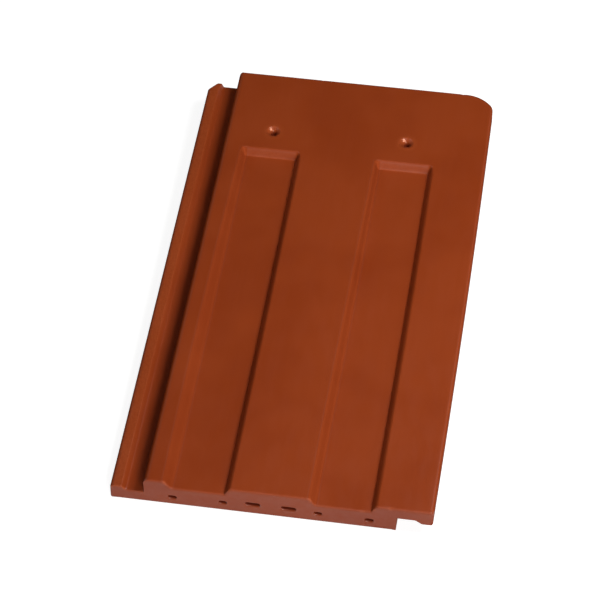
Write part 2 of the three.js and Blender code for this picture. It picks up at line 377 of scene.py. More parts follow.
# %% Plan
shoulder = head_radius - side_corner_radius
head_arc = np.array(
    [width - side_corner_radius - shoulder * math.sin(head_turn), length - head_radius]
)
side_arc = np.array(
    [width - side_corner_radius, length - head_radius + shoulder * math.cos(head_turn)]
)
turn = np.linspace(0, math.pi / 2, 61)
arc_radius = np.where(turn < head_turn, head_radius, side_corner_radius)
arc_middle = np.where((turn < head_turn)[:, None], head_arc, side_arc)
corner_start = np.array([head_arc[0], side_arc[1]])
corner_reach = np.array([width, length]) - corner_start
curve = arc_middle + arc_radius[:, None] * np.stack([np.sin(turn), np.cos(turn)], 1)
curve = (curve - corner_start) / corner_reach
curve_angle, curve_radius = np.arctan2(curve[:, 1], curve[:, 0])[::-1], np.hypot(*curve.T)[::-1]

plan_corners = [  # across, along, reach across, reach along, direction outwards
    (width, length, *corner_reach, 1, 1),
    (ledge_width, length, body_corner_radius, body_corner_radius, -1, 1),
    (width, 0, foot_corner_radius, foot_corner_radius, 1, -1),
    (0, 0, foot_corner_radius, foot_corner_radius, -1, -1),
]
cut_across, cut_along = 6.5, 7.0  # the corner cut off the ledge
cut_fades = 13.0  # how far across the grid is squeezed beside it


def in_plan(x, y):
    """Where a grid point goes, seen from above."""
    x, y = np.array(x, float), np.array(y, float)
    cut = cut_across * np.clip((y - (ledge_end - cut_along)) / cut_along, 0, 1)
    x = np.where((x < cut_fades) & (y <= ledge_end), x + cut * (1 - x / cut_fades), x)
    for i, (across, along, reach_x, reach_y, right, headwards) in enumerate(plan_corners):
        u = 1 - (across - x) * right / reach_x
        v = 1 - (along - y) * headwards / reach_y
        inside = (u > 0) & (v > 0) & (u <= 1.0001) & (v <= 1.0001)
        u, v = np.clip(u, 0, 1), np.clip(v, 0, 1)
        bent_u, bent_v = u * np.sqrt(1 - v**2 / 2), v * np.sqrt(1 - u**2 / 2)
        if i == 0:
            stretch = np.interp(np.arctan2(bent_v, bent_u), curve_angle, curve_radius) - 1
            stretch = 1 + stretch * (bent_u**2 + bent_v**2)
            bent_u, bent_v = bent_u * stretch, bent_v * stretch
        x = np.where(inside, across + right * reach_x * (bent_u - 1), x)
        y = np.where(inside, along + headwards * reach_y * (bent_v - 1), y)
    return x, y


print("head corner reaches across and along, mm:", corner_reach.round(2))

# %% [markdown]
# ## Round edges
#
# The die's own edges are soft, and the wire's are tighter. A bevel modifier would find neither the
# pressed channels' mouths nor the two radii, so `edge_drop` works out how far the top lies lower
# near its outline: the height of a quarter round, softly along the sides and more tightly along the
# cut ends.

# %% Edges
def arc_drop(distance, radius):
    """How far a rounded edge lies below its face, this far in from the edge."""
    inward = np.clip(radius - distance, 0, radius)
    return radius - np.sqrt(np.maximum(radius**2 - inward**2, 0))


def round_corner_drop(x, y, middle, radius):
    """The same round a corner, softer where the outline faces sideways."""
    away_x, away_y = x - middle[0], y - middle[1]
    away = np.maximum(np.hypot(away_x, away_y), 1e-9)
    edge = (away_x**2 * side_radius + away_y**2 * end_radius) / away**2
    return arc_drop(radius - away, edge)


def edge_drop(x, y):
    """Drop of the body's top at its outline."""
    drop = np.maximum(
        np.maximum(arc_drop(x - ledge_width, ledge_side_radius), arc_drop(width - x, side_radius)),
        np.maximum(arc_drop(y, end_radius), arc_drop(length - y, end_radius)),
    )
    beyond = np.arctan2(x - side_arc[0], y - side_arc[1]) > head_turn
    corner = np.where(
        beyond,
        round_corner_drop(x, y, side_arc, side_corner_radius),
        round_corner_drop(x, y, head_arc, head_radius),
    )
    drop = np.where((x > corner_start[0]) & (y > corner_start[1]), corner, drop)
    for across, along, radius, _, right, headwards in plan_corners[1:3]:
        middle = (across - right * radius, along - headwards * radius)
        there = ((x - middle[0]) * right > 0) & ((y - middle[1]) * headwards > 0)
        drop = np.where(there, np.maximum(drop, round_corner_drop(x, y, middle, radius)), drop)
    return drop


print("top's drop 0.5 mm in from the right side, mm:", round(float(edge_drop(239.5, 200.0)), 2))

# %% [markdown]
# ## The nibs
#
# Two nibs under the head hook over the batten. They are drawn out of the underside itself: the grid
# around each one is read as square rings, and each ring is moved to its place on the nib's profile.
# Levels up to 0.7 make the sole, up to 1 its rounded tip, up to 2 the wall, up to 3 the fillet, and
# up to 4 the rest of the way out into the underside. This gives clean loops all round and needs no
# boolean cut.

# %% Nibs
nib_level = np.array([0, 0.4, 0.7, 0.78, 0.86, 0.93, 1, 1.35, 1.7, 2, 2.2, 2.4, 2.6, 2.8, 3, 4])
nib_height = 12.95  # 0.05 less than in CAD, so that the tile can't stand proud of its box
nib_tip, nib_root, nib_apron = 2.0, 2.6, 1.5  # radii of the tip and the fillet, and what lies beyond
nib_half_width, nib_half_depth = 16.0, 9.0
nib_side_lean, nib_foot_lean, nib_head_lean = 0.4, 1.0, 2.0
nib_squareness = 9  # of its outline: 2 would be an ellipse


def nib_profile(level, half, lean):
    """Half width and height of a nib at a ring's level."""
    sole = half - lean - nib_tip
    tip = fade(level, 0.7, 1) * math.pi / 2
    wall = fade(level, 1, 2)
    root = fade(level, 2, 3) * math.pi / 2
    out = sole * fade(level, 0, 0.7) + nib_tip * np.sin(tip)
    out = out + lean * wall + nib_root * (1 - np.cos(root)) + nib_apron * fade(level, 3, 4)
    low = -nib_height + nib_tip * (1 - np.cos(tip))
    low = low + (nib_height - nib_tip - nib_root) * wall + nib_root * np.sin(root)
    return out, low


def with_nibs(x, y, z):
    """Pulls the underside down into the two nibs."""
    for middle in nib_middles:
        across = np.round((x - middle) / nib_reach_across * nib_steps).astype(int)
        along = np.round((y - nib_middle_along) / nib_reach_along * nib_steps).astype(int)
        near = (np.abs(across) <= nib_steps) & (np.abs(along) <= nib_steps)
        a = nib_level[np.clip(np.abs(across), 0, nib_steps)]
        b = nib_level[np.clip(np.abs(along), 0, nib_steps)]
        level = np.maximum(a, b)
        share_a = np.sign(across) * a / np.maximum(level, 1e-9)
        share_b = np.sign(along) * b / np.maximum(level, 1e-9)
        out_x, low = nib_profile(level, nib_half_width, nib_side_lean)
        foot_y, _ = nib_profile(level, nib_half_depth, nib_foot_lean)
        head_y, _ = nib_profile(level, nib_half_depth, nib_head_lean)
        out_y = np.where(share_b < 0, foot_y, head_y)
        power = nib_squareness
        squeeze = (np.abs(share_a) ** power + np.abs(share_b) ** power + 1e-9) ** (-1 / power)
        squeeze = np.where(level > 0, 1 + (squeeze - 1) * fade(level, 4, 3), 1)
        inner = near & (level < 4)
        x = np.where(inner, middle + out_x * share_a * squeeze, x)
        y = np.where(inner, nib_middle_along + out_y * share_b * squeeze, y)
        z = np.where(inner, low, z)
    return x, y, z


nib_widths = nib_profile(np.array([0.7, 1, 2, 3]), nib_half_width, nib_side_lean)[0]
print("nib's half width at its sole, tip, wall and root, mm:", nib_widths.round(1))

# %% [markdown]
# ## Nicks
#
# Tiles knock against each other in the kiln car and on the pallet, so the edge of a tile's top
# always has a few small nicks. Each is a shallow scoop on an edge, two to four millimetres across
# and half a millimetre deep or less.

# %% Nicks
nicks = [  # across, along, radius, depth
    (11.2, 0.2, 1.3, 0.45),
    (24.6, 0.0, 1.1, 0.5),
    (42.0, 0.1, 1.6, 0.55),
    (90.2, 0.1, 1.2, 0.45),
    (149.4, 0.2, 1.5, 0.6),
    (189.0, 0.1, 1.4, 0.5),
    (197.0, 0.3, 1.3, 0.5),
    (209.5, 0.2, 1.8, 0.55),
    (226.0, 0.0, 1.2, 0.35),
    (239.2, 3.0, 1.2, 0.4),
    (239.3, 96.0, 1.6, 0.35),
    (26.8, 224.0, 1.6, 0.35),
    (214.0, 424.6, 1.5, 0.4),
    (96.0, 424.8, 1.2, 0.3),
]


def nick_drop(x, y):
    """How deep a nick is at a point."""
    drop = np.zeros(np.shape(x))
    for across, along, radius, depth in nicks:
        away = np.hypot(x - across, y - along) / radius
        drop = np.maximum(drop, depth * np.clip(1 - away**2, 0, 1))
    return drop


print("nicks:", len(nicks), "- deepest in mm:", max(nick[3] for nick in nicks))

# %% [markdown]
# ## Where the engobe lies
#
# The engobe is sprayed on from above. It covers the top and wraps round the cut ends, draws back a
# little from the long edges and the ramps, drifts thinly under the flap and misses the underside.
# In each dimple it runs to one side and pools, and the nail hole's deep inside gets painted shade.
#
# A material can't know all this, so each point of the mesh carries a number for it: 0 is bare clay,
# 1 a full film, and up to 1.1 a pool. Above that it stands for a darker colour inside: about 1.6
# deep in a nail hole, where it is painted shade, and 2 in a core, where it is a darker clay and
# partly painted shade. An attribute on the mesh is better here than a pattern in the material,
# because it follows the shape exactly.

# %% Engobe on a row
under_film, flap_film, side_film, full_film = 0.0, 0.25, 0.85, 1.0
cut_film, head_cut_film, ledge_cut_film = 0.965, 0.95, 0.7  # on faces that the wire cut
edge_loss, ramp_loss, rib_loss = 0.15, 0.13, 0.15
ramp_bend = 2.2  # the film draws back this far beside a ramp too
pool_offset, pool_radius = (-2.5, 1.5), 4.0  # from the middle of its dimple
# The last of these darkens the deep inside of each nail hole: painted shade.
pool_gain, dish_loss, hole_shade_gain = 0.1, 0.08, 0.6


def on_ramp(x, y):
    """One on a ramp and on the two bends beside it, zero elsewhere."""
    along = fade(y, 0, channel_end)
    share = np.zeros(np.shape(x))
    for tops, runs in zip(ramp_tops, ramp_runs):
        start = three_point(tops, along)
        stop = start + three_point(runs, along)
        inside = np.clip(np.minimum(x - start + ramp_bend, stop + ramp_bend - x), 0, 1)
        share = np.maximum(share, inside)
    return share * fade(y, channel_end + 1, channel_end)


def in_dimples(x, y, z):
    """What the dimples add to the film on top, and where a paler colour paints their highlight."""
    more, painted_highlight = np.zeros(len(x)), np.zeros(len(x))
    for across, along, radius in dimples:
        near = fade(np.hypot(x - across, y - along), 1.6 * radius, 0.6 * radius)
        from_pool = np.hypot(x - across - pool_offset[0], y - along - pool_offset[1])
        pooled = fade(from_pool, 1.5 * pool_radius, 0.5 * pool_radius)
        sides = near * fade(thickness - z, 0.4, 1)
        # Deep in the nail hole the number rises towards the dark colour: painted shade.
        hole_shade = near * fade(thickness - z, 2.8, 4)
        more += pool_gain * pooled - dish_loss * (1 - pooled) * sides + hole_shade_gain * hole_shade
        # A paler colour on the rim and in the pool: a painted highlight where the lamps catch the dish.
        painted_highlight = np.maximum(painted_highlight, near * np.maximum(pooled, 1 - sides))
    return more, painted_highlight


def engobe_on(base, mark, x, y, z, drop):
    """How much engobe lies on each point of a row."""
    top, ledge, under, flap = (mark == m for m in (TOP, LEDGE, UNDER, FLAP))
    in_lock = flap | ((mark == PLAIN) & (np.abs(base[:, 0] - rebate_wall) < 1))
    covered = np.select([under, in_lock], [under_film, flap_film], side_film)
    from_end = np.minimum(y, length - y)
    dry_edge = edge_loss * fade(drop, 0, 0.8) * fade(from_end, 1, 3)
    on_top = full_film - np.maximum(dry_edge, ramp_loss * on_ramp(x, y))
    covered = np.where(top, on_top + in_dimples(x, y, z)[0], covered)
    covered = np.where(ledge, full_film - rib_loss * fade(x, 3.2, 1.6), covered)
    return covered + (cut_film - covered) * fade(from_end, 1.5, 0)


print("ramp's width with its bends at the foot, mm:", round(ramp_runs[0][0] + 2 * ramp_bend, 1))

# %% [markdown]
# ## Where it is rubbed, and where light is painted
#
# A second number says how far the film is rubbed and shows the paler clay under it: along the
# edges and at each nick. The same paler colour is also painted light: a painted highlight on the rib
# and on the rims and pools of the dimples, and painted light on the sloped ends of the channels.

# %% Wear on a row
# Edge and nick rub are wear; the rib, end and dimple values paint light with the paler colour.
edge_rub, nick_rub, rib_highlight_paint, end_light_paint, dimple_highlight_paint = 0.3, 3, 0.7, 0.5, 0.9
lit_ends_start, lit_ends_stop = channel_end - channel_end_run - 1.4, 350  # along, short of the dimples


def wear_and_painted_light_on(mark, x, y, z, drop, ledge_drop, nick):
    """How much paler each point is, 0 to 1: rubbed at edges and nicks, painted light elsewhere."""
    top, ledge = mark == TOP, mark == LEDGE
    edge = top * fade(drop, 0, 0.625) * fade(drop, 2.2, 1.2)
    edge = np.where(ledge, fade(ledge_drop, 0, 2 / 3), edge)
    # The rib's top and inner edge get the paler colour: a painted highlight.
    rib_highlight = ledge * fade(x, rib_width + 2, rib_width)
    sunk = fade(thickness - z, 0.8, 1.6)
    # The sloped ends of the channels face the front lamp; the paler colour there is painted light.
    end = top * sunk * fade(y, lit_ends_start, lit_ends_start + 1) * (y < lit_ends_stop)
    # The dimples' rims and pools get the paler colour: a painted highlight.
    dimple_highlight = top * in_dimples(x, y, z)[1]
    rubbed_and_painted_light = edge_rub * edge + nick_rub * nick + rib_highlight_paint * rib_highlight + end_light_paint * end + dimple_highlight_paint * dimple_highlight
    return np.clip(rubbed_and_painted_light, 0, 1)


# The paler colour on the channel ends is painted light.
print("channel ends are rubbed from", round(lit_ends_start, 1), "to", channel_end, "mm along")

# %% [markdown]
# ## Shaping one row
#
# Everything above meets here. For one place along the tile, `shaped_row` takes the ring and returns
# it in three dimensions: bent in plan, with the right height for each mark, and with its engobe and
# its wear and painted light. One row at a time is easy to follow, and numpy handles all of its
# points at once.

# %% Shape a row
ledge_foot_radius, ledge_head_radius, under_end_radius = 0.8, 0.6, 0.6


def flap_under(x):
    """Height of the flap's lower face: ceiling, then ramp, then lip."""
    run = width - lip_width - lip_start
    ramp = flap_ceiling - (x - lip_start) * (flap_ceiling - lip_bottom) / run
    return np.clip(ramp, lip_bottom, flap_ceiling)


def shaped_row(base, mark, along):
    """A ring's points at one place along the tile, the engobe on each and its wear and painted light."""
    x, y = in_plan(base[:, 0], np.full(len(base), along))
    z = base[:, 1].copy()
    top, ledge, under, flap = (mark == m for m in (TOP, LEDGE, UNDER, FLAP))

    drop, nick = edge_drop(x, y), nick_drop(x, y)
    z = np.where(top, top_height(x, y) - drop - nick, z)

    ledge_drop = arc_drop(y, ledge_foot_radius) + arc_drop(ledge_end - y, ledge_head_radius)
    ledge_drop = (ledge_drop + nick) * fade(x, ledge_width, ledge_width - 1)
    z = np.where(ledge, z - ledge_drop - ledge_waves * slow_waves(x * 2, y), z)

    z = np.where(flap & (y > corner_start[1]), flap_under(x), z)

    end_lift = arc_drop(y, under_end_radius) + arc_drop(length - y, under_end_radius)
    z = np.where(under, z + end_lift, z)
    x, y, z = (np.where(under, new, old) for new, old in zip(with_nibs(x, y, z), (x, y, z)))

    covered = engobe_on(base, mark, x, y, z, drop)
    rubbed_and_painted_light = wear_and_painted_light_on(mark, x, y, z, drop, ledge_drop, nick)
    return np.stack([x, y, z], 1), covered, rubbed_and_painted_light


middle_row = shaped_row(ring, marks, length / 2)[0]
print("section half way, mm:", np.ptp(middle_row, axis=0).round(2)[[0, 2]])

# %% [markdown]
# ## Rows along the tile
#
# The ring is swept in two runs, because the ledge ends before the body does. Rows are close
# together at the foot edge, at the channels' heads and round the dimples, and exactly a millimetre
# apart where the nibs are. The second run's ring leaves the ledge out, and goes down the body's own
# side instead.

# %% Rows
close_rows = [  # from, to, step: the foot's edge, the channels' heads, the dimples
    (0, 1.4, 0.2),
    (336.0, 342.2, 0.5),
    (355.6, 368.8, 0.65),
]
long_step = 6.0
foot_rows = graded(0, nib_middle_along - nib_reach_along, close_rows, long_step)
nib_rows = nib_middle_along - nib_reach_along + np.arange(1, 2 * nib_steps + 1)
rows = np.concatenate([foot_rows, nib_rows, [ledge_end]])
to_head_edge = [421.3, 422.2, 422.8, 423.3, 423.8, 424.1, 424.35, 424.6, 424.8, 424.93]
head_rows = [ledge_end, *to_head_edge, length]

under_body = (marks == UNDER) & (ring[:, 0] >= ledge_width - 1e-6)
body_start = int(np.argmax(under_body))
wall_stop = int(np.argmax(marks == LEDGE))  # the ledge's first point, where the wall ends
marks[wall_stop] = PLAIN
wall_below = np.array([(ledge_width, high) for high in (9.4, 7.0, 4.6, 2.2)])
body_ring = np.concatenate([ring[body_start : wall_stop + 1], wall_below])
body_marks = np.concatenate([marks[body_start : wall_stop + 1], [PLAIN] * len(wall_below)])
print("rows along the tile:", len(rows) + len(head_rows) - 1)

# %% [markdown]
# ## The sweep
#
# Two neighbouring rows are joined by a band of four-sided faces. The points, their two numbers and
# the faces are kept in plain lists until the mesh is whole, which is much quicker than adding them
# to Blender one by one.

# %% Sweep
points, coverage, rubbing_and_painted_light, faces = [], [], [], []


def add_points(place, covered, rubbed_and_painted_light):
    """Adds points and returns their numbers in the mesh."""
    first = sum(len(p) for p in points)
    points.append(place)
    coverage.append(np.broadcast_to(covered, len(place)))
    rubbing_and_painted_light.append(np.broadcast_to(rubbed_and_painted_light, len(place)))
    return first + np.arange(len(place))


def sweep(base, mark, stations):
    """Sweeps a ring through stations and returns the first and the last row of numbers."""
    grid = [add_points(*shaped_row(base, mark, along)) for along in stations]
    for low, high in zip(grid, grid[1:]):
        faces.extend(zip(low, high, np.roll(high, -1), np.roll(low, -1)))
    return grid[0], grid[-1]


foot_row, ledge_row = sweep(ring, marks, rows)
body_row, head_row = sweep(body_ring, body_marks, head_rows)
print("faces of the outside:", len(faces))

# %% [markdown]
# ## The cores
#
# Six rods in the die leave six cores, in pairs either side of the middle. They save clay and help
# the tile to dry evenly. Each is a slot with round ends, swept from foot to head like the outside,
# with its faces turned inwards. No boolean cut is needed, because the end faces will be drawn round
# them.
#
# The wire drags a little clay over each mouth, so over the first 9 mm a core is up to a quarter
# lower and a tenth narrower, pushed against its upper right. Its very edge is slightly flared. No
# engobe reaches the inside, where the clay is darker, partly as painted shade of the deep core.

# %% Cores
core_pairs = (  # how far either side of the middle, width, height, level of its middle
    (13.3, 12, 5, 10.3),
    (35.4, 6.4, 4.4, 8.7),
    (73.1, 7, 4.8, 7.8),
)
cores = [
    (width / 2 + side * offset, level, wide, high)
    for offset, wide, high, level in core_pairs
    for side in (-1, 1)
]
mouth_depth, mouth_flare = 0.5, 0.3
torn_depths = [0.0, 0.5, 1.1, 1.8, 2.6, 4.0, 9.0]
torn_shares = [0.0, 0.12, 0.22, 0.25, 0.25, 0.2, 0.0]  # how much lower the core is at each depth
core_rows = [*torn_depths, *np.linspace(40, 385, 7), *(length - np.array(torn_depths[::-1]))]


def core_outline(core, flare, torn):
    """One core's outline, widened by flare and made lower and narrower by torn clay."""
    across, level, wide, high = core
    across, level = across + 0.1 * torn * wide, level + 0.5 * torn * high
    wide, high = wide * (1 - 0.4 * torn), high * (1 - torn)
    radius = high / 2
    angle = np.linspace(0, 2 * math.pi, 28, endpoint=False)
    shift = np.sign(np.round(np.cos(angle), 6)) * (wide / 2 - radius)
    round_x, round_z = (radius + flare) * np.cos(angle), (radius + flare) * np.sin(angle)
    return np.stack([across + shift + round_x, level + round_z], 1)


core_ends = []
for core in cores:
    grid = []
    for along in core_rows:
        inwards = min(along, length - along)
        torn = float(np.interp(inwards, torn_depths, torn_shares))
        outline = core_outline(core, mouth_flare * max(0, 1 - inwards / mouth_depth), torn)
        wobble = 0.12 * math.sin(along / 21 + core[0]) * (0 < along < length)
        place = np.stack([outline[:, 0] + wobble, np.full(len(outline), along), outline[:, 1]], 1)
        # Past the mouth the number climbs to 2 for the darker clay inside, which is partly painted
        # shade.
        inside = float(fade(inwards, mouth_depth, mouth_depth + 0.6))
        grid.append(add_points(place, full_film + inside, 0.0))
    for low, high in zip(grid, grid[1:]):
        faces.extend(zip(low, np.roll(low, -1), np.roll(high, -1), high))
    core_ends.append((grid[0], grid[-1]))
foot_cores, head_cores = zip(*core_ends)
print("cores:", len(cores), "- widest in mm:", max(core[2] for core in cores))

# %% [markdown]
# ## The cut ends
#
# The ends were cut with a wire, which leaves a flat, faintly torn face. Each is closed with a
# Delaunay mesh, which joins the outline, the cores' mouths and points scattered between them into
# well-shaped triangles. The scattered points are pushed in by up to a sixth of a millimetre, which
# gives the torn look without opening the mesh.

# %% Close the ends
chance = np.random.default_rng(7)
loose_step, loose_shift = 2.1, 0.6  # mm between scattered points, and how far each may stray
loose_start, loose_margin = 1.2, 0.8  # mm off the outline
wire_tear, ledge_tear = 0.16, 0.12


def all_points():
    return np.concatenate(points)


def flat_places(base, numbers):
    """Places in the section: across from the ring, height from the shaped point."""
    return np.stack([base[:, 0], all_points()[numbers, 2]], 1)


def core_places(loops):
    """Places in the section of the cores' mouths."""
    return [all_points()[loop][:, [0, 2]] for loop in loops]


def within(place, loop):
    """Whether a place in the section lies inside a closed loop."""
    a, b = loop, np.roll(loop, -1, 0)
    crosses = (a[:, 1] > place[1]) != (b[:, 1] > place[1])
    rise = np.where(crosses, b[:, 1] - a[:, 1], 1)
    cut = a[:, 0] + (place[1] - a[:, 1]) / rise * (b[:, 0] - a[:, 0])
    return int((crosses & (place[0] < cut)).sum()) % 2 == 1


def close_end(loops, flat, along, tear, covered):
    """Closes an end: loops number the points of its outline and holes, flat has their places."""
    edges, first = [], 0
    for loop in loops:
        edges += [(first + k, first + (k + 1) % len(loop)) for k in range(len(loop))]
        first += len(loop)
    border = np.concatenate(flat)
    low, high = border.min(0), border.max(0)
    columns, levels = (np.arange(low[k] + loose_start, high[k], loose_step) for k in (0, 1))
    grid_x, grid_z = np.meshgrid(columns, levels)
    loose = np.stack([grid_x.ravel(), grid_z.ravel()], 1)
    loose = loose + chance.uniform(-loose_shift, loose_shift, loose.shape)

    def filled(place):
        return within(place, flat[0]) and not any(within(place, hole) for hole in flat[1:])

    kept = [p for p in loose if filled(p) and np.hypot(*(border - p).T).min() > loose_margin]
    loose = np.array(kept).reshape(-1, 2)
    out = delaunay_2d_cdt([Vector(p) for p in np.concatenate([border, loose])], edges, [], 1, 1e-6)
    flat_x, flat_y = in_plan(loose[:, 0], np.full(len(loose), along))
    pushed_y = flat_y + tear * chance.uniform(0, 1, len(loose))
    place = np.stack([flat_x, pushed_y, loose[:, 1]], 1)
    numbers = np.concatenate([*loops, add_points(place, covered, 0.0)])
    for face in out[2]:
        middle = sum((Vector(out[0][k]) for k in face), Vector((0, 0))) / 3
        if filled(middle):
            faces.append(tuple(numbers[out[3][k][0]] for k in face))


foot_flat = [flat_places(ring, foot_row), *core_places(foot_cores)]
close_end([foot_row, *foot_cores], foot_flat, 0.0, wire_tear, cut_film)
head_flat = [flat_places(body_ring, head_row), *core_places(head_cores)]
close_end([head_row, *head_cores], head_flat, length, -wire_tear, head_cut_film)
ledge_part = np.concatenate([np.arange(wall_stop, len(ring)), np.arange(0, body_start + 1)])
ledge_loop = np.concatenate([ledge_row[ledge_part], body_row[-1 : -1 - len(wall_below) : -1]])
ledge_flat = np.concatenate(
    [flat_places(ring[ledge_part], ledge_row[ledge_part]), wall_below[::-1]]
)
close_end([ledge_loop], [ledge_flat], ledge_end, -ledge_tear, ledge_cut_film)
print("points:", len(all_points()), "faces:", len(faces))

# %% [markdown]
# ## Lying on the floor
#
# The mesh is still flat. The real tile rests on the lower edge of its foot and on its two nibs, so
# its head is raised by a little under two degrees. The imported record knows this: the mount on the
# head's top says which way that face points and where it is, which gives the tilt and the shift.
#
# A green tile also dries a little crooked. This one has a camber: its middle lies to the right of
# its ends, by a tenth of a millimetre at the ledge and by 1.3 mm at the flap. It shrank by as much,
# and by a thousandth of a millimetre in length, so it still fits in the CAD box.

# %% Place the tile
head_top = next(m for m in frame["record"]["mounts"] if m["name"] == "head_top")
mount_setback = 40  # mm from the head to that mount
tilt = math.asin(-head_top["axis"][1])
ledge_camber, flap_camber = 0.1, 1.3
spare_across, spare_along = 0.02, 0.001
flat_mount = np.array([width / 2, length - mount_setback, thickness])
spin = np.array(
    [[1, 0, 0], [0, math.cos(tilt), -math.sin(tilt)], [0, math.sin(tilt), math.cos(tilt)]]
)
shift = np.array(head_top["pos_m"]) * 1000 - spin @ flat_mount
warped = all_points()
bow = np.interp(warped[:, 0], [0, width], [ledge_camber, flap_camber])
warped[:, 0] *= 1 - (flap_camber + spare_across) / width
warped[:, 0] += bow * np.sin(math.pi * np.clip(warped[:, 1] / length, 0, 1))
warped[:, 1] *= 1 - spare_along / length
placed = (warped @ spin.T + shift) / 1000
print("tilt in degrees:", round(math.degrees(tilt), 3))
print("lowest point in mm:", round(float(placed[:, 2].min()) * 1000, 3))

# %% [markdown]
# ## The mesh
#
# Now the lists become a Blender mesh with its two attributes. Points of the two runs that lie on
# the same spot are joined, and the faces are turned outwards, so that the mesh is one closed skin:
# an edge with only one face would be a gap. Smooth shading hides the small faces, and edges that
# bend by more than 38 degrees stay sharp.

# %% Mesh
mesh = bpy.data.meshes.new("roof_tile_fired")
mesh.from_pydata([tuple(p) for p in placed.tolist()], [], [tuple(int(k) for k in f) for f in faces])
for name, numbers in (("engobe", coverage), ("rubbed_and_painted_light", rubbing_and_painted_light)):
    layer = mesh.attributes.new(name, "FLOAT", "POINT")
    layer.data.foreach_set("value", np.concatenate(numbers).astype(np.float32))

shell = bmesh.new()
shell.from_mesh(mesh)
bmesh.ops.remove_doubles(shell, verts=shell.verts, dist=2e-6)
bmesh.ops.dissolve_degenerate(shell, edges=shell.edges, dist=1e-7)
bmesh.ops.recalc_face_normals(shell, faces=shell.faces)
open_edges = sum(not edge.is_manifold for edge in shell.edges)
shell.to_mesh(mesh)
triangles = sum(len(f.verts) - 2 for f in shell.faces)
volume = shell.calc_volume() * 1e6
shell.free()
mesh.shade_smooth()
mesh.set_sharp_from_angle(angle=math.radians(38))
tile = bpy.data.objects.new("roof_tile_fired", mesh)
bpy.context.scene.collection.objects.link(tile)
print("triangles:", triangles)
print("edges that aren't closed:", open_edges, "; volume in cm3:", round(volume, 1))

# %% [markdown]
# ## Building a material
#
# A material is a small network. One helper adds any kind of node: it sets the node's own settings,
# gives each input a value or a link, and hands back the output that the next node needs. A second
# one turns a colour as it is written for the screen into the linear numbers that shaders use.

# %% Node helper
def add_node(tree, kind, inputs=None, output=0, **settings):
    """Adds a shader node and returns one output. An input is a value, or a socket that is linked."""
    node = tree.nodes.new("ShaderNode" + kind)
    for name, value in settings.items():
        setattr(node, name, value)
    for name, value in (inputs or {}).items():
        if isinstance(value, bpy.types.NodeSocket):
            tree.links.new(value, node.inputs[name])
        else:
            node.inputs[name].default_value = value
    return node.outputs[output]


def linear(hex_colour):
    """sRGB hex to the linear colour that shaders use."""
    parts = [int(hex_colour[i : i + 2], 16) / 255 for i in (1, 3, 5)]
    return [p / 12.92 if p <= 0.04045 else ((p + 0.055) / 1.055) ** 2.4 for p in parts] + [1.0]


print("a middle grey, linear:", round(linear("#808080")[0], 3))

# %% [markdown]
# ## Engobed clay: its patterns
#
# The body is an iron-rich clay that fires to a salmon red. The engobe is a thin slip of fine red
# clay and iron oxide, sprayed on before firing. It is never a flat colour, so each thing that marks
# it gets a noise of its real size: the spray varies slowly over a hand's breadth, the die leaves
# streaks a few millimetres wide and a hand long, and the bare clay is cloudy. Real grains are a
# tenth of a millimetre and less, too fine to show here, so they are drawn as coarse as they need to
# show.

# %% Patterns
clay = bpy.data.materials.new("engobed_clay_satin")
clay.use_nodes = True
tree = clay.node_tree
on_object = add_node(tree, "TexCoord", output="Object")

patterns = {  # size in mm, how many times longer across, along and up, detail
    "spray": (60, (1, 1, 1), 2),
    "die_streaks": (2.4, (1, 60, 1), 3),
    "grain": (0.9, (1, 1, 1), 2),
    "fine_grain": (0.35, (1, 1, 1), 1),
    "clay_clouds": (18, (1, 2, 1), 5),
    "rub_patches": (1.8, (1, 1, 1), 3),
    "satin_patches": (7, (1, 3, 1), 3),
}
values = {}
for name, (size, stretch, detail) in patterns.items():
    scale = [1000 / size / longer for longer in stretch]
    scaled = add_node(tree, "Mapping", {"Vector": on_object, "Scale": scale})
    settings = {"Scale": 1.0, "Detail": detail, "Roughness": 0.5}
    values[name] = add_node(tree, "TexNoise", {"Vector": scaled, **settings}, output="Fac")
for name in ("engobe", "rubbed_and_painted_light"):
    values[name] = add_node(tree, "Attribute", output="Fac", attribute_name=name)
print("patterns:", len(patterns), "- nodes so far:", len(tree.nodes))

# %% [markdown]
# ## Engobed clay: from patterns to shares
#
# A noise hovers round one half, and the engobe's number means different things at different levels.
# A Map Range node picks the stretch that matters and turns it into a share. The grain makes the
# border between film and bare clay ragged, as a spray's edge is, and the rub and the painted light
# are patchy. A pool is what lies above a full film and below the number of the painted shade in a
# nail hole.

# %% Shares
ragged = add_node(tree, "Math", {0: values["grain"], 1: 0.5}, operation="SUBTRACT")
values["ragged"] = add_node(
    tree, "Math", {0: ragged, 1: 0.5, 2: values["engobe"]}, operation="MULTIPLY_ADD"
)
for name, source, low, high, to_low, to_high in (
    ("cloudy", "spray", 0.35, 0.65, 0.0, 1.0),
    ("streaky", "die_streaks", 0.3, 0.7, 0.0, 0.35),
    ("grainy", "grain", 0.62, 0.8, 0.0, 0.35),
    ("pale_clay", "clay_clouds", 0.35, 0.75, 0.0, 1.0),
    ("bare", "ragged", 0.62, 0.3, 0.0, 1.0),
    # inside: the dark colour of the cores, partly painted shade, and of the nail holes, painted shade
    ("inside", "engobe", 1.2, 1.8, 0.0, 1.0),
    ("patchy", "rub_patches", 0.3, 0.65, 0.175, 0.5),
    ("satin", "satin_patches", 0.3, 0.7, 0.33, 0.41),
    ("above_film", "engobe", 1.0, 1.1, 0.0, 1.0),
    ("below_hole", "engobe", 1.3, 1.15, 0.0, 1.0),
    ("film_shine", "engobe", 0.85, 0.94, 0.05, 0.32),
):
    limits = {"From Min": low, "From Max": high, "To Min": to_low, "To Max": to_high}
    values[name] = add_node(
        tree, "MapRange", {"Value": values[source], **limits}, interpolation_type="SMOOTHSTEP"
    )
